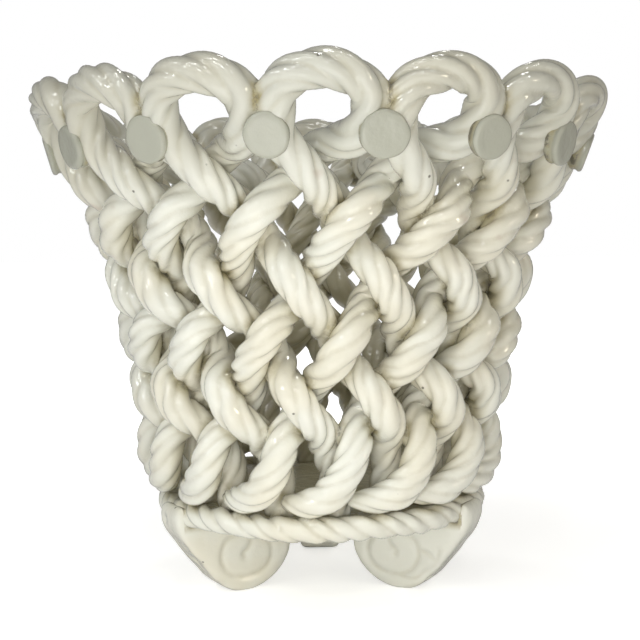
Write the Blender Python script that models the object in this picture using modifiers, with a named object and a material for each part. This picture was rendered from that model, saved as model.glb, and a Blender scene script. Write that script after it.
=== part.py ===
"""Rope-weave ceramic planter basket, built as separate pieces.

Sixteen ropes make the whole wall.  Each rope rises from the floor slab leaning to the
right, curls over at the rim as an open loop and comes down again leaning the other way,
so the thirty-two legs cross in a plain over-and-under weave of six rows.  A flat button
covers each place where two loops touch.  A thinner rope is wound once round the slab,
and three scroll feet carry it.  Nothing on the object moves.

Units are metres and degrees.  +Z is up, and the origin is on the standing plane, on the
basket's axis.  Angles are measured about Z from the front (-Y) towards +X.
"""
import math

import bpy
from mathutils import Matrix, Vector

MM = 0.001

# ---- Driving dimensions ---------------------------------------------------------------
ROPE_COUNT = 16                      # ropes, rim loops and buttons
ROPE_PITCH = 360.0 / ROPE_COUNT      # degrees from one rope to the next
ROPE_RADIUS = 6.5 * MM

ROWS = 6                             # rows of crossings from the rim down
ROW_HEIGHT = 24.0 * MM
TOP_ROW_Z = 185.5 * MM
LEAN = ROPE_PITCH / 2                # degrees that a leg moves round in one row
RISING_PHASE = 5.0                   # degrees, puts the rising legs' crossings
FALLING_PHASE = -17.5                # degrees, puts the falling legs' crossings
TOP_ROW_SHIFT = 1.5                  # degrees that the top row's crossings sit further on
WEAVE_DEPTH = 7.8 * MM               # from the middle of the wall to a leg's centreline
WEAVE_FLATNESS = 0.6                 # 0 is a sine wave, more keeps the crests flatter
CREST_SHOULDER = 0.22                # rows from a crossing to where its crest ends

WALL_FOOT_RADIUS = 70.0 * MM         # middle of the wall at the lowest row
WALL_SLOPE = 20.0 * MM               # even widening from the lowest row to the top row
WALL_FLARE = 11.0 * MM               # extra widening that gathers near the rim

BUTTON_RADIUS = 8.75 * MM
BUTTON_FACE_RADIUS = 7.9 * MM        # flat face inside the chamfered edge
BUTTON_THICKNESS = 4.4 * MM          # from the rear point to the face
BUTTON_Z = 194.8 * MM
BUTTON_SEAT_RADIUS = 118.4 * MM      # where the button's rear point is
BUTTON_TILT = 18.0                   # degrees that its face looks down

RING_RADIUS = 70.7 * MM              # centreline of the rope round the slab
RING_ROPE_RADIUS = 5.2 * MM
RING_Z = 37.3 * MM

SLAB_RADIUS = 65.0 * MM
SLAB_BOTTOM_Z = 32.4 * MM
SLAB_TOP_Z = 40.5 * MM
FLOOR_RADIUS = 52.0 * MM             # raised flat floor inside the ropes' feet
FLOOR_Z = 41.6 * MM

FOOT_COUNT = 3
FIRST_FOOT_ANGLE = 60.0
FOOT_THICKNESS = 19.0 * MM
# Side view of a foot in millimetres, distance from the axis and height: from the slab down
# the inside of the scroll, over its flat ground, and out and up along the tail.
SCROLL_OUTLINE = (
    (22.8, 27.0), (22.0, 19.4), (22.8, 14.2), (25.5, 9.8), (29.0, 6.1), (33.2, 3.2),
    (37.6, 1.2), (41.0, 0.0), (50.4, 0.0), (54.4, 2.4), (58.4, 6.2), (62.4, 11.0),
    (66.0, 15.6), (69.6, 20.3), (73.2, 25.2), (76.0, 29.8), (77.5, 33.6), (77.6, 36.6),
    (76.9, 39.6),
)
SCROLL_TOP_RADIUS = 24.8 * MM         # where the inside of the scroll meets the slab
FIT_GAP = 0.3 * MM                   # clearance between pieces that touch

# The rim loop, from the rising leg round to the falling leg: angle from the loop's
# middle in degrees, then height and distance from the axis in millimetres.
LOOP_STATIONS = (
    (1.0, 192.2, 95.8), (6.2, 194.4, 107.4), (7.8, 201.6, 115.0), (7.4, 210.0, 120.0),
    (3.4, 216.0, 123.0), (-2.3, 216.4, 123.0), (-6.9, 211.0, 120.6), (-8.1, 203.0, 116.8),
    (-7.8, 194.0, 112.4),
)
# The lower end of the rising leg: it bulges over the ring, then sweeps along it and
# tapers to tuck in behind its neighbour.  Angle, height, distance, share of full radius.
RISING_END = (
    (-81.0, 48.4, 68.2, 0.38), (-76.8, 48.6, 71.0, 0.62), (-71.5, 49.6, 74.2, 0.85),
    (-66.0, 52.8, 76.4, 0.98), (-61.4, 60.2, 77.8, 1.0), (-58.2, 71.2, 77.2, 1.0),
    (-56.9, 77.8, 71.8, 1.0),
)
# The lower end of the falling leg stands upright on the slab behind those sweeps.
FALLING_END = (
    (44.6, 77.8, 72.0, 1.0), (45.8, 72.0, 65.4, 1.0), (49.3, 61.6, 60.4, 1.0),
    (49.7, 50.6, 59.7, 1.0), (49.7, 41.2, 59.7, 0.97),
)

GLAZE_COLOUR = (0.76, 0.75, 0.68, 1.0)


# ---- Helpers --------------------------------------------------------------------------
def clear_scene():
    for old in list(bpy.data.objects):
        bpy.data.objects.remove(old, do_unlink=True)


def glaze(name, roughness):
    """White tin glaze over earthenware, one material for each kind of piece."""
    material = bpy.data.materials.new(name)
    material.use_nodes = True
    shader = material.node_tree.nodes["Principled BSDF"]
    shader.inputs["Base Color"].default_value = GLAZE_COLOUR
    shader.inputs["Roughness"].default_value = roughness
    shader.inputs["Metallic"].default_value = 0.0
    return material


def polar(angle, z, radius):
    """A point from its angle about Z, its height and its distance from the axis."""
    turn = math.radians(angle)
    return Vector((radius * math.sin(turn), -radius * math.cos(turn), z))


def add_piece(collection, name, data, material, turn=0.0):
    """Put one piece in the collection, turned about Z by an angle in degrees."""
    if not data.materials:
        data.materials.append(material)
    piece = bpy.data.objects.new(name, data)
    piece.rotation_euler = (0.0, 0.0, math.radians(turn))
    collection.objects.link(piece)
    return piece


# ---- Woven ropes ----------------------------------------------------------------------
def row_height(row):
    return TOP_ROW_Z - ROW_HEIGHT * (row - 1)


def wall_radius(row):
    """Middle of the wall: nearly upright at the foot, flaring at the rim."""
    rise = (ROWS - row) / (ROWS - 1)
    return WALL_FOOT_RADIUS + WALL_SLOPE * rise + WALL_FLARE * rise ** 4


def weave(row):
    """Outward (+1) at odd rows and inward (-1) at even rows, with flattened crests."""
    phase = math.pi * (row - 1)
    return math.cos(phase) * (1 + WEAVE_FLATNESS * math.sin(phase) ** 2)


def leg_point(side, row):
    """A point of a leg: side is -1 on the rising leg and +1 on the falling leg."""
    angle = side * LEAN * row + (RISING_PHASE if side < 0 else FALLING_PHASE)
    angle += TOP_ROW_SHIFT * max(0.0, 2.0 - row)
    return polar(angle, row_height(row), wall_radius(row) + side * WEAVE_DEPTH * weave(row))


def leg_rows():
    """Row positions down one leg: both shoulders of each crossing and the way between."""
    rows = [1.0, 1.0 + CREST_SHOULDER, 1.5]
    for row in range(2, ROWS):
        rows += [row - CREST_SHOULDER, row + CREST_SHOULDER, row + 0.5]
    return rows[:-1]


def rope_points():
    """Centreline of one rope as (point, share of full radius), end to end."""
    rising = [(polar(a, z * MM, r * MM), share) for a, z, r, share in RISING_END]
    rising += [(leg_point(-1, row), 1.0) for row in reversed(leg_rows())]
    loop = [(polar(a, z * MM, r * MM), 1.0) for a, z, r in LOOP_STATIONS]
    falling = [(leg_point(1, row), 1.0) for row in leg_rows()]
    falling += [(polar(a, z * MM, r * MM), share) for a, z, r, share in FALLING_END]
    return rising + loop + falling


def rope_curve(name, points, radius, cyclic):
    curve = bpy.data.curves.new(name, "CURVE")
    curve.dimensions = "3D"
    curve.bevel_depth = radius
    curve.bevel_resolution = 2
    curve.use_fill_caps = not cyclic
    spline = curve.splines.new("POLY")
    spline.points.add(len(points) - 1)
    for slot, (place, share) in zip(spline.points, points):
        slot.co = (*place, 1.0)
        slot.radius = share
    spline.use_cyclic_u = cyclic
    return curve


def build_ropes(collection, material):
    curve = rope_curve("woven_rope", rope_points(), ROPE_RADIUS, cyclic=False)
    for index in range(ROPE_COUNT):
        add_piece(collection, f"rope_{index + 1:02d}", curve, material, index * ROPE_PITCH)


# ---- Buttons --------------------------------------------------------------------------
def button_mesh():
    """A flat button with a blunt conical back that settles between two loops."""
    face = BUTTON_THICKNESS
    profile = (
        (0.0, face), (BUTTON_FACE_RADIUS, face), (BUTTON_RADIUS, face - 1.0 * MM),
        (BUTTON_RADIUS - 1.35 * MM, face - 2.4 * MM), (2.4 * MM, 0.6 * MM), (0.0, 0.0),
    )
    mesh = bpy.data.meshes.new("button")
    mesh.from_pydata([(radius, 0.0, height) for radius, height in profile],
                     [(i, i + 1) for i in range(len(profile) - 1)], [])
    return mesh


def build_buttons(collection, material):
    mesh = button_mesh()
    outward = Matrix.Rotation(math.radians(90 + BUTTON_TILT), 4, "X")
    for index in range(ROPE_COUNT):
        angle = (index + 0.5) * ROPE_PITCH
        button = add_piece(collection, f"button_{index + 1:02d}", mesh, material)
        seat = Matrix.Translation((0.0, -BUTTON_SEAT_RADIUS, BUTTON_Z))
        button.matrix_world = Matrix.Rotation(math.radians(angle), 4, "Z") @ seat @ outward
        turned = button.modifiers.new("turned", "SCREW")
        turned.angle = math.tau
        turned.steps = turned.render_steps = 14
        turned.use_merge_vertices = True
        turned.merge_threshold = 0.00001


# ---- Base -----------------------------------------------------------------------------
def build_base_rope(collection, material, segments=48):
    turns = [polar(360.0 * i / segments, RING_Z, RING_RADIUS) for i in range(segments)]
    curve = rope_curve("base_rope", [(point, 1.0) for point in turns], RING_ROPE_RADIUS, True)
    add_piece(collection, "base_rope", curve, material)


def build_slab(collection, material):
    """The floor slab: a turned disc with a raised flat floor inside the ropes' feet."""
    profile = (
        (0.0, FLOOR_Z), (FLOOR_RADIUS, FLOOR_Z), (FLOOR_RADIUS, SLAB_TOP_Z),
        (SLAB_RADIUS, SLAB_TOP_Z), (SLAB_RADIUS, SLAB_BOTTOM_Z), (0.0, SLAB_BOTTOM_Z),
    )
    mesh = bpy.data.meshes.new("floor_slab")
    mesh.from_pydata([(r, 0.0, z) for r, z in profile],
                     [(i, i + 1) for i in range(len(profile) - 1)], [])
    slab = add_piece(collection, "floor_slab", mesh, material)
    turned = slab.modifiers.new("turned", "SCREW")
    turned.angle = math.tau
    turned.steps = turned.render_steps = 48
    turned.use_merge_vertices = True
    turned.merge_threshold = 0.00001


# ---- Scroll feet ----------------------------------------------------------------------
def foot_outline():
    """Side view of a foot as (distance from the axis, height), counter-clockwise.

    The scroll is a wheel with a small flat ground on its underside.  A tail leaves it
    outwards and upwards, and ends against the underside of the base rope.
    """
    top = SLAB_BOTTOM_Z - FIT_GAP
    outline = [(SCROLL_TOP_RADIUS, top)]
    outline += [(r * MM, z * MM) for r, z in SCROLL_OUTLINE]
    for turn in (22.0, -15.0, -52.0, -90.0):
        reach = RING_ROPE_RADIUS + 2 * FIT_GAP
        outline.append((RING_RADIUS + reach * math.cos(math.radians(turn)),
                        RING_Z + reach * math.sin(math.radians(turn))))
    outline.append((RING_RADIUS - 4.0 * MM, top))
    return outline


def build_feet(collection, material):
    curve = bpy.data.curves.new("scroll_foot", "CURVE")
    curve.dimensions = "2D"
    curve.fill_mode = "BOTH"
    curve.extrude = FOOT_THICKNESS / 2
    outline = foot_outline()
    spline = curve.splines.new("POLY")
    spline.points.add(len(outline) - 1)
    for slot, (radius, height) in zip(spline.points, outline):
        slot.co = (radius, height, 0.0, 1.0)
    spline.use_cyclic_u = True
    upright = Matrix.Rotation(math.radians(90.0), 4, "X")
    for index in range(FOOT_COUNT):
        angle = FIRST_FOOT_ANGLE + index * 360.0 / FOOT_COUNT - 90.0
        foot = add_piece(collection, f"scroll_foot_{index + 1}", curve, material)
        foot.matrix_world = Matrix.Rotation(math.radians(angle), 4, "Z") @ upright


def main():
    clear_scene()
    collection = bpy.data.collections.new("rope_basket")
    bpy.context.scene.collection.children.link(collection)
    build_ropes(collection, glaze("rope_glaze", 0.16))
    build_buttons(collection, glaze("button_glaze", 0.22))
    build_base_rope(collection, glaze("base_rope_glaze", 0.18))
    build_slab(collection, glaze("slab_glaze", 0.3))
    build_feet(collection, glaze("foot_glaze", 0.2))


main()
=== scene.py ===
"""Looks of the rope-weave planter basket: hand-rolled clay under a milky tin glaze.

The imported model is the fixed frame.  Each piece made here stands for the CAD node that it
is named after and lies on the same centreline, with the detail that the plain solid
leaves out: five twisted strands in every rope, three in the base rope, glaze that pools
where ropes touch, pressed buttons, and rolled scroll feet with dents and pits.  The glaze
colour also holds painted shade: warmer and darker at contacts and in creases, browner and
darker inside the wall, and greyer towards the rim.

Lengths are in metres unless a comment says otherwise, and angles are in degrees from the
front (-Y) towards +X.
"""
import math

import bmesh
import bpy
import numpy as np
from mathutils import Matrix, Vector


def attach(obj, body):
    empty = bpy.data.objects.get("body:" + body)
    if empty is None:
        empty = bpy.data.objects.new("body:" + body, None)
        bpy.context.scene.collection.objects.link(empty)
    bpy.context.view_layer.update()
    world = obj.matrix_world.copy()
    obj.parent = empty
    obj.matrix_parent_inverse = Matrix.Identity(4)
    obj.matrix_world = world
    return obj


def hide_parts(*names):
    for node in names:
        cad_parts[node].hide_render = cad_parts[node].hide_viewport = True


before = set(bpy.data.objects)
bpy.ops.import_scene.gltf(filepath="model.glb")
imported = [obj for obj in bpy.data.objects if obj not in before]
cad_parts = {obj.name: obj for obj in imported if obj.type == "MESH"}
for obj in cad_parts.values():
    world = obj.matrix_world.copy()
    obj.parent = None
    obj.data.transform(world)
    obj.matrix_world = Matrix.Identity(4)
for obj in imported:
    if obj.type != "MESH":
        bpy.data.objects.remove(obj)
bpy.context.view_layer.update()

MM = 0.001

# ---- The basket's layout, as the CAD has it --------------------------------------------
ROPE_COUNT = 16
ROPE_PITCH = 360.0 / ROPE_COUNT
ROWS = 6
ROW_HEIGHT = 24.0 * MM
TOP_ROW_Z = 185.5 * MM
RIM_FOOT_Z = 192.0 * MM                # below this the wall's inside is painted browner and darker: browner glaze, and painted shade
LEAN = ROPE_PITCH / 2
RISING_PHASE = 5.0
FALLING_PHASE = -17.5
TOP_ROW_SHIFT = 1.5
WALL_FOOT_RADIUS = 70.0 * MM
WALL_SLOPE = 20.0 * MM
WALL_FLARE = 11.0 * MM
WEAVE_FLATNESS = 0.6
BUTTON_Z = 194.8 * MM
BUTTON_SEAT_RADIUS = 118.4 * MM
BUTTON_TILT = 18.0
RING_RADIUS = 70.7 * MM
RING_Z = 37.3 * MM
FOOT_COUNT = 3
FIRST_FOOT_ANGLE = 60.0
FOOT_THICKNESS = 19.0 * MM
SCROLL_CENTRE = (44.6, 16.4)          # middle of the roll, in millimetres
SCROLL_OUTLINE = (
    (40.0, 33.6), (24.0, 33.6), (21.6, 27.4), (20.8, 19.8), (21.6, 14.2), (24.4, 9.2),
    (28.2, 5.2), (32.4, 2.2), (36.6, 0.3), (41.0, -0.8), (46.0, -1.0), (50.6, -0.3),
    (55.2, 2.2), (59.4, 5.8), (63.4, 10.6), (67.0, 15.2), (70.6, 19.9), (74.2, 24.8),
    (77.1, 29.3), (78.6, 33.4), (78.7, 37.2), (77.8, 40.2), (75.2, 41.4), (71.5, 39.4),
    (66.0, 35.2), (60.0, 33.6),
)

# ---- The glazed surface ----------------------------------------------------------------
ROPE_RADIUS = 7.1 * MM               # glaze fills the CAD's clearance, so crossings fuse
WEAVE_DEPTH = 7.25 * MM
ROPE_STRANDS = 5
LOOP_LAY = 34.0                      # degrees between a strand and the rope's line
LEG_LAY = 40.0
STRAND_DEPTH = 1.3 * MM
CREASE_SOFTNESS = 0.12               # 0 is a knife-cut crease, 1 is nearly round
RING_ROPE_RADIUS = 5.5 * MM
RING_STRANDS = 3
RING_TURNS = 15                      # whole turns of lay round the base
RING_STRAND_DEPTH = 1.25 * MM
ALONG_STEP = 1.4 * MM
AROUND = 40                          # points round a rope
STRAND_UNEVENNESS = 0.24             # radians that the creases wander round the rope
DEPTH_VARIATION = 0.26               # share by which the creases' depth varies
BROAD_SWELL = 0.20 * MM              # lumps in the clay, one and two to a turn
FINE_SWELL = 0.18 * MM
LUMP_LENGTH = 21 * MM
RING_LUMPS = 20
LINE_WANDER = 0.45 * MM              # how far a rope's line strays
THICKNESS_WANDER = 0.03              # shares of the radius
CREST_SWELL = 0.03
LOOP_SWELL = 0.075
LAY_WANDER = 4.0                     # degrees
LOOP_REACH = 55 * MM                 # length of rope each way that belongs to the rim loop
INSIDE_FADE = 16 * MM
FILLET = 3.0 * MM                    # how near two ropes are when the glaze bridges them
POOL_AND_SHADE_REACH = 5.5 * MM                   # how near a neighbour the glaze is painted warm and darker: pooled glaze, and painted shade
BRIDGE = 0.25                        # how much of the fillet the glaze rises by
BUTTON_AROUND = 56
SLAB_AROUND = 128
WELD_DISTANCE = 0.02 * MM
FOOT_VOXEL = 0.75 * MM
FOOT_SMOOTHING = 46                  # rounds, which turn the outline's corners soft
FOOT_DENTS = 9
SEAM_WIDTH = 1.5                     # millimetres, as are the next two
SEAM_DEPTH = 1.1
FACE_CROWN = 0.5
ROPE_SEED = 11                       # each rope adds its index, and so do buttons and feet
RING_SEED = 111
BUTTON_SEED = 211
SLAB_SEED = 311
FOOT_SEED = 411

# The rim loop and the two lower ends: angle, height and distance from the axis in
# millimetres, and for the ends the share of the full radius.
LOOP_STATIONS = (
    (1.0, 192.2, 95.8), (6.4, 194.4, 107.4), (8.4, 201.6, 115.0), (8.0, 210.0, 120.0),
    (3.7, 216.2, 122.8), (-2.3, 216.6, 122.8), (-7.3, 211.2, 120.6), (-8.5, 203.0, 116.8),
    (-8.0, 194.0, 112.4),
)
RISING_END = (
    (-81.0, 48.4, 68.2, 0.38), (-76.8, 48.6, 71.0, 0.66), (-71.5, 49.6, 74.2, 0.90),
    (-66.0, 52.8, 76.4, 1.02), (-61.4, 60.2, 77.8, 1.04), (-58.2, 71.2, 77.2, 1.0),
    (-56.9, 77.8, 71.8, 1.0),
)
FALLING_END = (
    (44.6, 77.8, 72.0, 1.0), (45.8, 72.0, 65.4, 1.0), (49.3, 61.6, 60.4, 1.0),
    (49.7, 50.6, 59.7, 1.0), (49.7, 40.6, 59.7, 0.97),
)


# ---- Curves ----------------------------------------------------------------------------
def polar(angle, z, radius):
    """x, y and z of a place given by its angle, height and distance from the axis."""
    turn = math.radians(angle)
    return (radius * math.sin(turn), -radius * math.cos(turn), z)


def turned(points, angle):
    """Points turned about Z by an angle in degrees."""
    c, s = math.cos(math.radians(angle)), math.sin(math.radians(angle))
    return points @ np.array([[c, s, 0.0], [-s, c, 0.0], [0.0, 0.0, 1.0]])


def curve_through(keys, per_span=12):
    """Centripetal Catmull-Rom curve through rows that start with x, y, z."""
    keys = np.asarray(keys, float)
    rows = np.vstack([2 * keys[0] - keys[1], keys, 2 * keys[-1] - keys[-2]])
    gaps = np.sqrt(np.linalg.norm(np.diff(rows[:, :3], axis=0), axis=1))
    knot = np.concatenate([[0.0], np.cumsum(gaps)])
    pieces = []
    for i in range(1, len(rows) - 2):
        k0, k1, k2, k3 = knot[i - 1:i + 3]
        t = np.linspace(k1, k2, per_span, endpoint=False)[:, None]
        a1 = ((k1 - t) * rows[i - 1] + (t - k0) * rows[i]) / (k1 - k0)
        a2 = ((k2 - t) * rows[i] + (t - k1) * rows[i + 1]) / (k2 - k1)
        a3 = ((k3 - t) * rows[i + 1] + (t - k2) * rows[i + 2]) / (k3 - k2)
        b1 = ((k2 - t) * a1 + (t - k0) * a2) / (k2 - k0)
        b2 = ((k3 - t) * a2 + (t - k1) * a3) / (k3 - k1)
        pieces.append(((k2 - t) * b1 + (t - k1) * b2) / (k2 - k1))
    return np.vstack(pieces + [keys[-1:]])


def lengths_along(points):
    """Distance from the first row to each row."""
    steps = np.linalg.norm(np.diff(points[:, :3], axis=0), axis=1)
    return np.concatenate([[0.0], np.cumsum(steps)])


def even_steps(points, step):
    """The same curve with its rows an even distance apart."""
    along = lengths_along(points)
    places = np.linspace(0.0, along[-1], int(round(along[-1] / step)) + 1)
    return np.stack([np.interp(places, along, column) for column in points.T], axis=1)


def sway(rng, along, wavelength, waves=3):
    """Smooth random wander along a length, about -1 to 1."""
    total = np.zeros_like(along)
    for _ in range(waves):
        stretch = wavelength * rng.uniform(0.6, 1.6)
        total += np.sin(math.tau * (along / stretch + rng.random()))
    return total / waves


def unit(rows):
    """The same directions with length 1."""
    return rows / np.linalg.norm(rows, axis=-1, keepdims=True)


# ---- Rope centreline -------------------------------------------------------------------
def row_height(row):
    """Height of a row of crossings, where 1 is the top row."""
    return TOP_ROW_Z - ROW_HEIGHT * (row - 1)


def wall_radius(row):
    """Distance from the axis to the middle of the wall, which flares towards the rim."""
    rise = (ROWS - row) / (ROWS - 1)
    return WALL_FOOT_RADIUS + WALL_SLOPE * rise + WALL_FLARE * rise ** 4


def weave(row):
    """1 where a falling leg passes outside and -1 where it passes inside."""
    phase = math.pi * (row - 1)
    return math.cos(phase) * (1 + WEAVE_FLATNESS * math.sin(phase) ** 2)


def leg_key(side, row):
    """x, y, z, radius share and crest (1 where the leg passes outside) on one leg."""
    angle = side * LEAN * row + (RISING_PHASE if side < 0 else FALLING_PHASE)
    angle += TOP_ROW_SHIFT * max(0.0, 2.0 - row)
    out = side * weave(row)
    place = polar(angle, row_height(row), wall_radius(row) + WEAVE_DEPTH * out)
    return (*place, 1.0, min(1.0, max(-1.0, out)))


def rope_keys():
    """Rows of x, y, z, radius share and crest along the first rope's centreline."""
    rows = [1.0 + 0.25 * i for i in range(17)] + [5.2]
    rising = [(*polar(a, z * MM, r * MM), share, 0.5) for a, z, r, share in RISING_END]
    rising += [leg_key(-1, row) for row in reversed(rows)]
    loop = [(*polar(a, z * MM, r * MM), 1.0, 0.0) for a, z, r in LOOP_STATIONS]
    falling = [leg_key(1, row) for row in rows]
    falling += [(*polar(a, z * MM, r * MM), share, 0.0) for a, z, r, share in FALLING_END]
    return rising + loop + falling


def frames_along(points):
    """Tangent, normal and binormal that turn as little as they can along the curve."""
    tangent = unit(np.gradient(points, axis=0))
    normal = np.empty_like(points)
    last = np.cross(tangent[0], (0.0, 0.0, 1.0))
    for i, heading in enumerate(tangent):
        last = last - heading * (last @ heading)
        last = last / np.linalg.norm(last)
        normal[i] = last
    return tangent, normal, np.cross(tangent, normal)


# ---- Lobed rope surface ----------------------------------------------------------------
def crease(angle, strands):
    """0 on the crown of a strand, 1 at the bottom of the crease between two."""
    ridge = np.sqrt(np.cos(angle * strands / 2) ** 2 + CREASE_SOFTNESS ** 2)
    crown = math.hypot(1.0, CREASE_SOFTNESS)
    return (crown - ridge) / (crown - CREASE_SOFTNESS)


class Rope:
    """One rope as rings of points that turn with its lay, so creases follow the mesh."""

    def __init__(self, points, radii, twist, strands, depth, rng, closed=False):
        self.points, self.radii, self.closed = points, radii, closed
        if closed:
            outward = unit(points * (1.0, 1.0, 0.0))
            tangent = unit(np.roll(points, -1, axis=0) - np.roll(points, 1, axis=0))
            normal, binormal = outward, np.cross(tangent, outward)
        else:
            tangent, normal, binormal = frames_along(points)
        lobe = np.linspace(0.0, math.tau, AROUND, endpoint=False)[None, :]
        uneven = STRAND_UNEVENNESS * np.sin(lobe + rng.random() * math.tau)
        along = lengths_along(points)[:, None]
        groove = crease(lobe + uneven, strands)
        slow = along / LUMP_LENGTH
        if closed:
            slow = np.linspace(0.0, math.tau * RING_LUMPS, len(points), endpoint=False)[:, None]
        swell = BROAD_SWELL * np.sin(lobe + slow * 0.6 + rng.random() * math.tau)
        swell = swell + FINE_SWELL * np.sin(2 * lobe - slow + rng.random() * math.tau)
        variation = np.sin(lobe + slow * 0.8 + rng.random() * math.tau)
        cut = depth * (1 + DEPTH_VARIATION * variation)
        angle = lobe + twist[:, None]
        self.outward = (np.cos(angle)[..., None] * normal[:, None]
                        + np.sin(angle)[..., None] * binormal[:, None])
        share = (radii / radii.max())[:, None]
        reach = radii[:, None] - (cut * groove - swell) * share
        self.groove = groove * np.ones_like(reach)
        self.surface = points[:, None] + reach[..., None] * self.outward
        self.contact = np.zeros_like(reach)
        # How much each point faces the inside below the rim. The glaze paints this browner and
        # darker, partly as browner glaze and partly as painted shade.
        radial = unit(points * (1.0, 1.0, 0.0))
        facing_in = -(self.outward * radial[:, None]).sum(axis=2)
        below_rim = np.clip((RIM_FOOT_Z - points[:, 2]) / INSIDE_FADE, 0.0, 1.0)
        self.inside = np.clip(facing_in + 0.25, 0.0, 1.0) * below_rim[:, None]

    def settle(self, others, other_radii):
        """Bridge the glaze to neighbours that are near, and note how near they are."""
        reach = 2.1 * ROPE_RADIUS + FILLET + POOL_AND_SHADE_REACH
        for i, centre in enumerate(self.points):
            near = np.linalg.norm(others - centre, axis=1) < reach
            if not near.any():
                continue
            gaps = np.linalg.norm(self.surface[i][:, None] - others[near][None], axis=2)
            gap = (gaps - other_radii[near]).min(axis=1)
            closeness = np.clip(1 - gap / FILLET, 0.0, 1.3)
            self.surface[i] += self.outward[i] * (BRIDGE * FILLET * closeness ** 2)[:, None]
            # Closeness that the glaze paints warm and darker: pooled glaze, and painted shade at
            # the contact.
            self.contact[i] = np.clip(1 - gap / POOL_AND_SHADE_REACH, 0.0, 1.0)

    def mesh(self, name):
        """The surface as quads, with a fan over each end of an open rope."""
        rings, around = self.groove.shape
        spots = self.surface.reshape(-1, 3)
        groove, contact, inside = self.groove.ravel(), self.contact.ravel(), self.inside.ravel()
        start = np.arange(rings if self.closed else rings - 1) * around
        faces = []
        for first in start:
            second = (first + around) % (rings * around)
            for j in range(around):
                k = (j + 1) % around
                faces.append((first + j, first + k, second + k, second + j))
        if not self.closed:
            spots = np.vstack([spots, self.points[:1], self.points[-1:]])
            # The end centres count as half in contact and fully inside, so the glaze paints them
            # with pooled glaze and painted shade.
            groove = np.append(groove, (0.3, 0.3))
            contact = np.append(contact, (0.5, 0.5))
            inside = np.append(inside, (1.0, 1.0))
            low, high, last = rings * around, rings * around + 1, (rings - 1) * around
            for j in range(around):
                k = (j + 1) % around
                faces.append((k, j, low))
                faces.append((last + j, last + k, high))
        return glazed_mesh(name, spots, faces, groove, contact, inside)


def glazed_mesh(name, spots, faces, groove, contact, inside):
    """A smooth mesh that carries what the glaze needs to know at each point."""
    mesh = bpy.data.meshes.new(name)
    mesh.from_pydata(np.asarray(spots).tolist(), [], faces)
    for label, values in (("groove", groove), ("contact", contact), ("inside", inside)):
        layer = mesh.attributes.new(label, "FLOAT", "POINT")
        layer.data.foreach_set("value", np.asarray(values, np.float32))
    mesh.shade_smooth()
    return mesh


def lathe_faces(rings, around):
    """Quads between the rings of a turned shape, listed ring by ring."""
    faces = []
    for ring in range(rings - 1):
        for j in range(around):
            k = (j + 1) % around
            a, b = ring * around, (ring + 1) * around
            faces.append((a + k, a + j, b + j, b + k))
    return faces


def make_rope(index, keys):
    """One woven rope, with the small wander and thickening of hand-rolled clay."""
    rng = np.random.default_rng(ROPE_SEED + index)
    rows = even_steps(curve_through(keys), ALONG_STEP)
    along = lengths_along(rows)
    points = turned(rows[:, :3], index * ROPE_PITCH)
    for axis in range(3):
        points[:, axis] += LINE_WANDER * sway(rng, along, 60 * MM)
    shares, crest = rows[:, 3], rows[:, 4]
    looped = np.exp(-((along - 0.5 * along[-1]) / LOOP_REACH) ** 4)
    thickness = 1 + CREST_SWELL * crest + LOOP_SWELL * looped
    thickness = thickness + THICKNESS_WANDER * sway(rng, along, 45 * MM)
    lay = LEG_LAY + (LOOP_LAY - LEG_LAY) * looped + LAY_WANDER * sway(rng, along, 90 * MM)
    lay = np.radians(lay)
    turn = np.cumsum(np.tan(lay) / ROPE_RADIUS * ALONG_STEP) + rng.random() * math.tau
    radii = ROPE_RADIUS * shares * thickness
    return Rope(points, radii, turn, ROPE_STRANDS, STRAND_DEPTH, rng)


def make_base_rope():
    """The twisted cord round the foot, a closed ring that is not quite round or level."""
    rng = np.random.default_rng(RING_SEED)
    count = int(round(math.tau * RING_RADIUS / ALONG_STEP))
    turn = np.linspace(0.0, math.tau, count, endpoint=False)
    wander = 0.3 * MM * np.sin(5 * turn + 1.0) + 0.2 * MM * np.sin(11 * turn)
    reach = RING_RADIUS + wander
    points = np.stack([reach * np.sin(turn), -reach * np.cos(turn),
                       RING_Z + 0.3 * MM * np.sin(7 * turn)], axis=1)
    radii = RING_ROPE_RADIUS * (1 + 0.03 * np.sin(9 * turn + 2.0))
    return Rope(points, radii, turn * RING_TURNS, RING_STRANDS, RING_STRAND_DEPTH, rng, True)


# ---- Buttons ---------------------------------------------------------------------------
BUTTON_DRIFT = {0: -0.6, 1: -1.8, 2: -1.8, 13: -0.4, 14: 0.6, 15: 1.4}   # degrees


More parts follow.
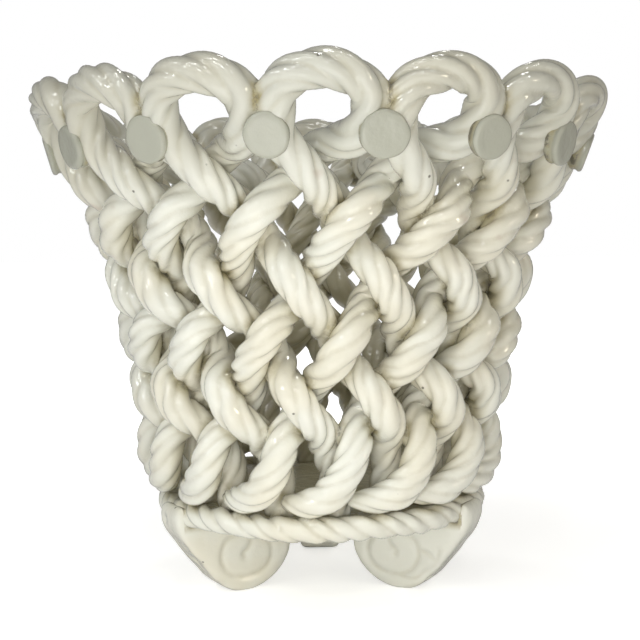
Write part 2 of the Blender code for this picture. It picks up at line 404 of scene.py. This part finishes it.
def make_button(index):
    """A disc of clay pressed on by hand: soft edge, slightly dished, not quite round."""
    rng = np.random.default_rng(BUTTON_SEED + index)
    # radius and height in millimetres, from the middle of the face to that of the back
    profile = [(0.0, 3.75), (2.0, 3.76), (4.0, 3.80), (6.0, 3.88), (7.0, 3.88), (7.6, 3.80)]
    for turn in np.radians((66, 44, 22, 0, -22, -44)):
        profile.append((7.45 + 1.45 * math.cos(turn), 2.4 + 1.45 * math.sin(turn)))
    profile += [(8.5, 0.8), (8.9, -0.4), (8.6, -1.6), (6.6, -3.4), (3.2, -4.9), (0.0, -5.4)]
    turns = np.linspace(0.0, math.tau, BUTTON_AROUND, endpoint=False)
    outline = (1 + 0.022 * np.sin(2 * turns + rng.random() * 6)
               + 0.014 * np.sin(3 * turns + rng.random() * 6)
               + 0.007 * np.sin(7 * turns + rng.random() * 6))
    spots = []
    for radius, height in profile:
        wave = 0.12 * np.sin(turns + 2.0) * radius / 8
        for turn, out, lift in zip(turns, outline, wave):
            spots.append((radius * out * math.cos(turn), radius * out * math.sin(turn),
                          height + lift))
    faces = lathe_faces(len(profile), BUTTON_AROUND)
    angle = (index + 0.5) * ROPE_PITCH + BUTTON_DRIFT.get(index, 0.0)
    place = (Matrix.Rotation(math.radians(angle), 4, "Z")
             @ Matrix.Translation((0.0, -BUTTON_SEAT_RADIUS, BUTTON_Z))
             @ Matrix.Rotation(math.radians(90 + BUTTON_TILT + rng.uniform(-4, 3)), 4, "X")
             @ Matrix.Rotation(math.radians(rng.uniform(-4, 4)), 4, "Y"))
    size = rng.uniform(0.97, 1.04)
    world = [place @ (Vector(spot) * MM * size) for spot in spots]
    radii = np.array([math.hypot(spot[0], spot[1]) for spot in spots])
    heights = np.array([spot[2] for spot in spots])
    # The back and edge of the button, where it meets the ropes, get warm pooled glaze and painted
    # shade.
    contact = np.clip((2.6 - heights) / 3.0, 0.0, 1.0) * (radii > 5)
    plain = np.zeros(len(world))
    mesh = glazed_mesh(f"button_{index + 1:02d}_glazed", world, faces, plain, contact, plain)
    weld(mesh)
    return mesh


def weld(mesh):
    """Join the points that meet on the axis of a turned shape."""
    work = bmesh.new()
    work.from_mesh(mesh)
    bmesh.ops.remove_doubles(work, verts=work.verts, dist=WELD_DISTANCE)
    bmesh.ops.recalc_face_normals(work, faces=work.faces)
    work.to_mesh(mesh)
    work.free()
    mesh.shade_smooth()


# ---- Floor slab ------------------------------------------------------------------------
def make_slab():
    """The floor: a thrown disc with soft edges and faint turning rings."""
    rng = np.random.default_rng(SLAB_SEED)
    # radius and height in millimetres, from the middle of the top to that of the underside
    profile = [(r, 41.6 + 0.05 * math.sin(r * 1.1)) for r in np.arange(0.0, 50.0, 1.6)]
    profile += [(50.4, 41.5), (51.4, 41.2), (52.4, 40.7), (54.0, 40.5), (58.0, 40.5),
                (62.0, 40.5), (64.2, 40.2), (65.0, 39.3), (65.3, 38.0), (65.3, 35.0),
                (64.8, 33.2), (63.6, 32.5), (60.0, 32.4), (40.0, 32.4), (20.0, 32.4), (0.0, 32.4)]
    turns = np.linspace(0.0, math.tau, SLAB_AROUND, endpoint=False)
    spots = []
    for radius, height in profile:
        lift = 0.1 * np.sin(3 * turns + radius / 9 + rng.random() * 0.4) * min(1, radius / 10)
        spots += [(radius * math.cos(t) * MM, radius * math.sin(t) * MM, (height + d) * MM)
                  for t, d in zip(turns, lift)]
    faces = lathe_faces(len(profile), SLAB_AROUND)
    radii = np.hypot(*np.array(spots)[:, :2].T) / MM
    heights = np.array(spots)[:, 2] / MM
    # The outer top, where the ropes stand, gets warm pooled glaze and painted shade. The whole top
    # counts as inside, so it is also painted browner and darker, partly as painted shade.
    contact = np.clip((radii - 44) / 14, 0, 1) * (heights > 40) * 0.8
    mesh = glazed_mesh("floor_slab_glazed", spots, faces, np.zeros(len(spots)), contact,
                       (heights > 38).astype(float))
    weld(mesh)
    return mesh


# ---- Scroll feet -----------------------------------------------------------------------
# Points across and up from the roll's middle, in millimetres.
ROLL_SEAM = (-0.6, 9.8), (-2.2, 5.6), (-0.4, 2.4), (1.8, 0.6), (1.2, -1.2)
OUTER_COIL = (3.0, -10.2), (9.0, -11.4), (15.5, -9.0), (20.6, -3.6), (22.4, 2.6)
OUTER_FOLD = (12.4, 2.2), (16.4, 1.2), (20.8, -2.0)


def seam_lines(centre, folded):
    """Seams of the roll on a foot's side faces, as points in millimetres."""
    turns = np.linspace(0.0, math.tau, 90)
    ring = np.stack([12.6 * np.cos(turns), 10.4 * np.sin(turns)], axis=1)
    lines = [ring + 0.25 * np.sin(3 * turns)[:, None]]
    for keys in (ROLL_SEAM, OUTER_COIL, OUTER_FOLD) if folded else (ROLL_SEAM,):
        lines.append(curve_through([(u, v, 0.0) for u, v in keys])[:, :2])
    return np.vstack(lines) + centre


def smooth_mesh(spots, edges, rounds):
    """Even out a mesh by moving each point towards the middle of its neighbours."""
    degree = np.bincount(edges.ravel(), minlength=len(spots))[:, None]
    for _ in range(rounds):
        total = np.zeros_like(spots)
        np.add.at(total, edges[:, 0], spots[edges[:, 1]])
        np.add.at(total, edges[:, 1], spots[edges[:, 0]])
        spots = spots + 0.5 * (total / degree - spots)
    return spots


def make_foot(index):
    """A rolled scroll of clay: soft edges, the roll's seam on both faces, dents and pits."""
    rng = np.random.default_rng(FOOT_SEED + index)
    half = FOOT_THICKNESS / 2 + 0.5 * MM
    work = bmesh.new()
    ring = [work.verts.new((u * MM, -half, v * MM)) for u, v in SCROLL_OUTLINE]
    face = work.faces.new(ring)
    grown = bmesh.ops.extrude_face_region(work, geom=[face])["geom"]
    for item in grown:
        if isinstance(item, bmesh.types.BMVert):
            item.co.y = half
    bmesh.ops.recalc_face_normals(work, faces=work.faces)
    raw = bpy.data.meshes.new("foot_raw")
    work.to_mesh(raw)
    work.free()
    block = bpy.data.objects.new("foot_raw", raw)
    bpy.context.scene.collection.objects.link(block)
    remesh = block.modifiers.new("remesh", "REMESH")
    remesh.mode = "VOXEL"
    remesh.voxel_size = FOOT_VOXEL
    depsgraph = bpy.context.evaluated_depsgraph_get()
    mesh = bpy.data.meshes.new_from_object(block.evaluated_get(depsgraph))
    bpy.data.objects.remove(block)
    spots = np.zeros(len(mesh.vertices) * 3)
    mesh.vertices.foreach_get("co", spots)
    edges = np.zeros(len(mesh.edges) * 2, int)
    mesh.edges.foreach_get("vertices", edges)
    spots = smooth_mesh(spots.reshape(-1, 3), edges.reshape(-1, 2), FOOT_SMOOTHING)
    folded = index == 0
    centre = np.array(SCROLL_CENTRE) - (2.6 * folded, 0.0)
    seam = seam_lines(centre, folded)
    flat = spots[:, (0, 2)] / MM
    away = np.linalg.norm(flat[:, None] - seam[None], axis=2).min(axis=1)
    groove = np.exp(-(away / SEAM_WIDTH) ** 2)
    side = np.clip(np.abs(spots[:, 1]) / half, 0, 1) ** 6
    reach = np.linalg.norm(flat - centre, axis=1)
    crown = FACE_CROWN * np.clip(1 - (reach / 19) ** 2, -0.5, 1)
    push = side * (SEAM_DEPTH * groove - crown) * MM
    spots[:, 1] -= np.sign(spots[:, 1]) * push
    for _ in range(FOOT_DENTS):
        climb = rng.uniform(0.0, 1.0)
        spot = np.array([56.0 + 22.0 * climb, rng.choice((-9.5, -4.0, 3.0, 9.5)),
                         3.5 + 31.0 * climb]) * MM
        gap = np.linalg.norm(spots - spot, axis=1) / MM
        pull = rng.uniform(0.7, 1.5) * np.exp(-(gap / rng.uniform(2.0, 4.0)) ** 2) * MM
        inward = unit(np.array([centre[0] * MM, 0.0, centre[1] * MM]) - spots)
        spots += inward * pull[:, None]
    spots[:, 2] = np.maximum(spots[:, 2], 0.0)
    # The top of the roll, under the base rope, gets warm pooled glaze and painted shade.
    contact = np.clip((spots[:, 2] / MM - 28) / 5, 0, 1) * (spots[:, 0] / MM < 75)
    angle = FIRST_FOOT_ANGLE + index * 360.0 / FOOT_COUNT - 90.0
    spots = turned(spots, angle)
    faces = [tuple(polygon.vertices) for polygon in mesh.polygons]
    return glazed_mesh(f"scroll_foot_{index + 1}_glazed", spots, faces, groove * side, contact,
                       np.zeros(len(spots)))


# ---- Materials -------------------------------------------------------------------------
def add_node(tree, kind, inputs=None, **settings):
    """A new node with its settings made and each input given a value or a link."""
    made = tree.nodes.new(kind)
    for name, value in settings.items():
        setattr(made, name, value)
    for name, value in (inputs or {}).items():
        socket = made.inputs[name]
        if isinstance(value, bpy.types.NodeSocket):
            tree.links.new(value, socket)
        else:
            socket.default_value = value
    return made


def attribute(tree, name):
    """A value that glazed_mesh stored at the points."""
    return add_node(tree, "ShaderNodeAttribute", attribute_name=name).outputs["Fac"]


def ramp(tree, value, low, high):
    """0 below low and 1 above high, smooth between."""
    made = add_node(tree, "ShaderNodeMapRange", {"Value": value, "From Min": low, "From Max": high},
                    interpolation_type="SMOOTHSTEP")
    return made.outputs["Result"]


def maths(tree, operation, first, second):
    """The result of one operation on two values or sockets."""
    return add_node(tree, "ShaderNodeMath", {0: first, 1: second},
                    operation=operation).outputs[0]


def mix_colour(tree, share, first, second):
    """The first colour at share 0 and the second at share 1."""
    made = add_node(tree, "ShaderNodeMix", data_type="RGBA")
    for socket, value in ((0, share), (6, first), (7, second)):
        if isinstance(value, bpy.types.NodeSocket):
            tree.links.new(value, made.inputs[socket])
        else:
            made.inputs[socket].default_value = value
    return made.outputs[2]


def noise(tree, place, scale, detail=3.0, roughness=0.5):
    """Soft noise about 0.5, with scale in waves to the metre."""
    made = add_node(tree, "ShaderNodeTexNoise", {"Vector": place, "Scale": scale,
                                                 "Detail": detail, "Roughness": roughness})
    return made.outputs["Fac"]


IVORY = (0.83, 0.80, 0.67, 1.0)
COOL_WHITE = (0.86, 0.86, 0.77, 1.0)
# Warm pooled glaze and painted shade, at contacts and in creases.
WARM_POOL_AND_SHADE = (0.43, 0.38, 0.22, 1.0)
# Inside of the wall: browner glaze and painted shade.
INNER_KHAKI_AND_SHADE = (0.47, 0.43, 0.28, 1.0)
# Painted shade that greys the top loops and the rim.
RIM_PAINTED_SHADE = (0.45, 0.45, 0.38, 1.0)
GREEN_GREY = (0.40, 0.41, 0.33, 1.0)
GRIME = (0.10, 0.085, 0.06, 1.0)
PINK_SPECK = (0.50, 0.36, 0.28, 1.0)
CLOUD_SCALE = 22.0                   # waves to the metre, as are the next five
BLUSH_SCALE = 60.0
PINHOLE_SCALE = 95.0
STREAK_SCALE = 130.0
RIPPLE_SCALE = 190.0
GRIME_SCALE = 240.0
RIM_SHADE_FROM = 0.16               # heights in metres between which the rim is painted greyer, as painted shade
RIM_SHADE_TO = 0.205


def glaze(name, roughness, pool_and_shade, greyness=0.0):
    """Milky tin glaze: cool where thick, warm and darker where it pools at contacts and in creases,
    which is also painted shade; browner and darker inside, partly as painted shade; greyer towards
    the rim as painted shade; with pinholes and grime.
    """
    material = bpy.data.materials.new(name)
    material.use_nodes = True
    tree = material.node_tree
    shader = tree.nodes["Principled BSDF"]
    place = add_node(tree, "ShaderNodeTexCoord").outputs["Object"]
    groove = attribute(tree, "groove")
    inside = attribute(tree, "inside")
    contact = attribute(tree, "contact")

    cloud = ramp(tree, noise(tree, place, CLOUD_SCALE), 0.38, 0.62)
    colour = mix_colour(tree, maths(tree, "MULTIPLY", cloud, 1.0 - greyness), IVORY, COOL_WHITE)
    if greyness:
        colour = mix_colour(tree, greyness, colour, GREEN_GREY)
    # Painted shade: the glaze turns greyer towards the rim and darkens the top loops as shade
    # would.
    height = add_node(tree, "ShaderNodeSeparateXYZ", {"Vector": place}).outputs["Z"]
    high = ramp(tree, height, RIM_SHADE_FROM, RIM_SHADE_TO)
    rim_shade = maths(tree, "MULTIPLY", high, 0.50)
    colour = mix_colour(tree, rim_shade, colour, RIM_PAINTED_SHADE)
    streak = noise(tree, place, STREAK_SCALE, 4.0, 0.6)
    # Warm pooled glaze and painted shade at contacts and in the creases between strands.
    contact_pool_and_shade = maths(tree, "MULTIPLY", ramp(tree, contact, 0.15, 0.9), pool_and_shade)
    crease_pool_and_shade = maths(tree, "MULTIPLY", ramp(tree, groove, 0.45, 1.0), 0.25)
    warm_and_shade = maths(tree, "MULTIPLY", maths(tree, "ADD", contact_pool_and_shade, crease_pool_and_shade),
                 ramp(tree, streak, 0.25, 0.65))
    colour = mix_colour(tree, warm_and_shade, colour, WARM_POOL_AND_SHADE)
    # Inside the wall: browner glaze and painted shade.
    colour = mix_colour(tree, maths(tree, "MULTIPLY", inside, 0.85), colour, INNER_KHAKI_AND_SHADE)

    seam = maths(tree, "MULTIPLY", ramp(tree, contact, 0.62, 1.0),
                 ramp(tree, noise(tree, place, GRIME_SCALE, 5.0, 0.7), 0.45, 0.58))
    colour = mix_colour(tree, maths(tree, "MULTIPLY", seam, 0.8), colour, GRIME)

    cells = add_node(tree, "ShaderNodeTexVoronoi", {"Vector": place, "Scale": PINHOLE_SCALE})
    chosen = add_node(tree, "ShaderNodeSeparateColor", {"Color": cells.outputs["Color"]})
    rare = ramp(tree, chosen.outputs[0], 0.74, 0.76)
    hole = maths(tree, "SUBTRACT", 1.0, ramp(tree, cells.outputs["Distance"], 0.035, 0.075))
    pinhole = maths(tree, "MULTIPLY", hole, rare)
    colour = mix_colour(tree, maths(tree, "MULTIPLY", pinhole, 0.8), colour, GRIME)

    patch = ramp(tree, noise(tree, place, BLUSH_SCALE, 2.0), 0.70, 0.80)
    blush = maths(tree, "MULTIPLY", patch, 0.35)
    colour = mix_colour(tree, blush, colour, PINK_SPECK)
    tree.links.new(colour, shader.inputs["Base Color"])

    shine = maths(tree, "MULTIPLY", ramp(tree, streak, 0.3, 0.7), 0.07)
    rough = maths(tree, "ADD", maths(tree, "ADD", shine, roughness),
                  maths(tree, "MULTIPLY", seam, 0.3))
    tree.links.new(rough, shader.inputs["Roughness"])
    shader.inputs["IOR"].default_value = 1.6
    shader.inputs["Coat Weight"].default_value = 0.7
    shader.inputs["Coat Roughness"].default_value = 0.03

    ripple = add_node(tree, "ShaderNodeBump", {
        "Height": noise(tree, place, RIPPLE_SCALE, 4.0, 0.55), "Strength": 0.8,
        "Distance": 0.5 * MM})
    pits = add_node(tree, "ShaderNodeBump", {
        "Height": pinhole, "Strength": 0.8, "Distance": 0.4 * MM,
        "Normal": ripple.outputs["Normal"]}, invert=True)
    tree.links.new(pits.outputs["Normal"], shader.inputs["Normal"])
    tree.links.new(pits.outputs["Normal"], shader.inputs["Coat Normal"])
    return material


FLOOR_RADIUS = 8.0
FLOOR_DIM = (0.88, 0.88, 0.88, 1.0)
FLOOR_PALE = (0.92, 0.92, 0.92, 1.0)
FADE_FROM = 0.10                     # distances in metres between which the floor turns white
FADE_TO = 0.50
NEAR_GLOW = 0.55
FAR_GLOW = 1.0


def floor_material():
    """A white table whose far part fades into the white backdrop, for the camera alone."""
    material = bpy.data.materials.new("pale_floor")
    material.use_nodes = True
    tree = material.node_tree
    shader = tree.nodes["Principled BSDF"]
    place = add_node(tree, "ShaderNodeTexCoord").outputs["Object"]
    colour = mix_colour(tree, noise(tree, place, 3.0), FLOOR_DIM, FLOOR_PALE)
    tree.links.new(colour, shader.inputs["Base Color"])
    shader.inputs["Roughness"].default_value = 0.6
    far = add_node(tree, "ShaderNodeVectorMath", {0: place}, operation="LENGTH").outputs["Value"]
    seen = add_node(tree, "ShaderNodeLightPath").outputs["Is Camera Ray"]
    distant = ramp(tree, far, FADE_FROM, FADE_TO)
    fade = maths(tree, "ADD", maths(tree, "MULTIPLY", distant, FAR_GLOW - NEAR_GLOW), NEAR_GLOW)
    tree.links.new(maths(tree, "MULTIPLY", seen, fade), shader.inputs["Emission Strength"])
    shader.inputs["Emission Color"].default_value = (1.0, 1.0, 1.0, 1.0)
    return material


# ---- The pieces ------------------------------------------------------------------------
def place_piece(mesh, node, material):
    """Add one finished piece, riding on the basket's body in place of its CAD node."""
    mesh.materials.append(material)
    piece = bpy.data.objects.new(mesh.name, mesh)
    bpy.context.scene.collection.objects.link(piece)
    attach(piece, "root")
    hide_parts(node)
    return piece


def build_basket():
    """Make every piece; the ropes first, since the glaze bridges from rope to rope."""
    rope_glaze = glaze("rope_glaze_milky", 0.05, 0.9)
    ring_glaze = glaze("base_rope_glaze_milky", 0.08, 0.8)
    button_glaze = glaze("button_glaze_milky", 0.16, 0.9, 0.9)
    slab_glaze = glaze("slab_glaze_milky", 0.20, 0.9)
    foot_glaze = glaze("foot_glaze_milky", 0.12, 0.9)

    keys = rope_keys()
    ropes = [make_rope(index, keys) for index in range(ROPE_COUNT)]
    ring = make_base_rope()
    for rope in ropes:
        points = [other.points for other in ropes if other is not rope] + [ring.points]
        radii = [other.radii for other in ropes if other is not rope] + [ring.radii]
        rope.settle(np.vstack(points), np.concatenate(radii))
    points = np.vstack([rope.points for rope in ropes])
    radii = np.concatenate([rope.radii for rope in ropes])
    ring.settle(points, radii)
    for index, rope in enumerate(ropes):
        node = f"rope_{index + 1:02d}"
        place_piece(rope.mesh(node + "_glazed"), node, rope_glaze)
    place_piece(ring.mesh("base_rope_glazed"), "base_rope", ring_glaze)
    for index in range(ROPE_COUNT):
        place_piece(make_button(index), f"button_{index + 1:02d}", button_glaze)
    place_piece(make_slab(), "floor_slab", slab_glaze)
    for index in range(FOOT_COUNT):
        place_piece(make_foot(index), f"scroll_foot_{index + 1}", foot_glaze)


# ---- Floor, light and camera -----------------------------------------------------------
def build_floor():
    """A round floor, too wide for its edge to show."""
    bpy.ops.mesh.primitive_circle_add(vertices=96, radius=FLOOR_RADIUS, fill_type="NGON")
    floor = bpy.context.object
    floor.name = "studio_floor"
    floor.data.materials.append(floor_material())


def add_light(name, place, size, power, colour=(1.0, 1.0, 1.0), aim_height=0.12):
    """A soft round lamp that faces the basket's axis."""
    data = bpy.data.lights.new(name, "AREA")
    data.shape = "DISK"
    data.size = size
    data.energy = power
    data.color = colour
    light = bpy.data.objects.new(name, data)
    light.location = place
    aim = Vector((0.0, 0.0, aim_height)) - Vector(place)
    light.rotation_euler = aim.to_track_quat("-Z", "Y").to_euler()
    bpy.context.scene.collection.objects.link(light)
    return light


WHITE = (1.0, 1.0, 1.0, 1.0)
ROOM_COLOUR = (1.0, 0.98, 0.93, 1.0)
ROOM_GLOW_LOW = 0.37                 # strength at the horizon, and under it
ROOM_GLOW_HIGH = 0.10                # strength overhead


def build_lights():
    """A room that is dimmer overhead, a white backdrop for the camera, and soft lamps."""
    world = bpy.data.worlds.new("studio")
    bpy.context.scene.world = world
    world.use_nodes = True
    tree = world.node_tree
    place = add_node(tree, "ShaderNodeTexCoord").outputs["Generated"]
    height = add_node(tree, "ShaderNodeSeparateXYZ", {"Vector": place}).outputs["Z"]
    glow = add_node(tree, "ShaderNodeMapRange", {
        "Value": height, "From Min": -0.1, "From Max": 0.9,
        "To Min": ROOM_GLOW_LOW, "To Max": ROOM_GLOW_HIGH})
    room = add_node(tree, "ShaderNodeBackground", {
        "Color": ROOM_COLOUR, "Strength": glow.outputs["Result"]})
    backdrop = add_node(tree, "ShaderNodeBackground", {"Color": WHITE, "Strength": 1.0})
    seen = add_node(tree, "ShaderNodeLightPath").outputs["Is Camera Ray"]
    both = add_node(tree, "ShaderNodeMixShader", {0: seen})
    tree.links.new(room.outputs[0], both.inputs[1])
    tree.links.new(backdrop.outputs[0], both.inputs[2])
    tree.links.new(both.outputs[0], tree.nodes["World Output"].inputs["Surface"])

    add_light("lamp_left", (-0.95, -0.85, 0.62), 0.18, 1.45, (0.93, 0.97, 1.0))
    add_light("lamp_upper_left", (-0.70, -1.00, 1.00), 0.12, 0.9, (0.96, 0.98, 1.0))
    add_light("lamp_front_left", (-0.36, -1.10, 0.92), 0.14, 0.85, (0.98, 0.99, 1.0))
    add_light("lamp_front_right", (0.18, -1.05, 1.05), 0.12, 0.75, (1.0, 0.99, 0.97))
    add_light("lamp_ceiling", (-0.25, -0.55, 1.25), 0.12, 0.45, (1.0, 1.0, 1.0))
    add_light("lamp_far_left", (-1.20, -0.40, 0.95), 0.12, 0.7, (0.95, 0.98, 1.0))
    add_light("lamp_right", (1.0, -0.75, 0.45), 0.20, 1.15, (1.0, 0.88, 0.68))
    card = add_light("bounce_card", (-0.04, -0.42, 0.03), 0.3, 1.05, (1.0, 0.99, 0.97), 0.01)
    card.visible_glossy = False
    for name, across, power in (("lamp_back_left", -0.82, 3.4), ("lamp_back_right", 0.82, 3.0)):
        back = add_light(name, (across, 1.0, 0.7), 0.3, power, (1.0, 0.99, 0.97))
        back.visible_glossy = False
    for index, side in enumerate((-0.55, -0.25, 0.08, 0.40)):
        add_light(f"lamp_glint_{index + 1}", (side, -0.50 + 0.12 * (index % 2), 1.15), 0.08, 0.36)
    add_light("lamp_high_back", (0.15, 0.60, 1.20), 0.12, 0.6, (1.0, 1.0, 0.98))


CAMERA_DISTANCE = 0.533
CAMERA_HEIGHT = 0.1566
CAMERA_TURN = -1.0
CAMERA_PITCH = 4.07                  # degrees below level
CAMERA_ROLL = 0.5
LENS = 64.2                          # millimetres
SENSOR_WIDTH = 36.0                  # millimetres
SHIFT = 0.0023                       # share of the picture's width


def build_camera():
    """The photo's viewpoint: a little above the middle of the basket, half a metre away."""
    data = bpy.data.cameras.new("camera")
    data.lens = LENS
    data.sensor_width = SENSOR_WIDTH
    data.shift_x = SHIFT
    data.clip_start = 0.01
    camera = bpy.data.objects.new("camera", data)
    camera.location = polar(CAMERA_TURN, CAMERA_HEIGHT, CAMERA_DISTANCE)
    turns = (90 - CAMERA_PITCH, CAMERA_ROLL, CAMERA_TURN)
    camera.rotation_euler = [math.radians(turn) for turn in turns]
    bpy.context.scene.collection.objects.link(camera)
    bpy.context.scene.camera = camera
    bpy.context.scene.view_settings.view_transform = "Standard"


build_camera()
build_basket()
build_floor()
build_lights()
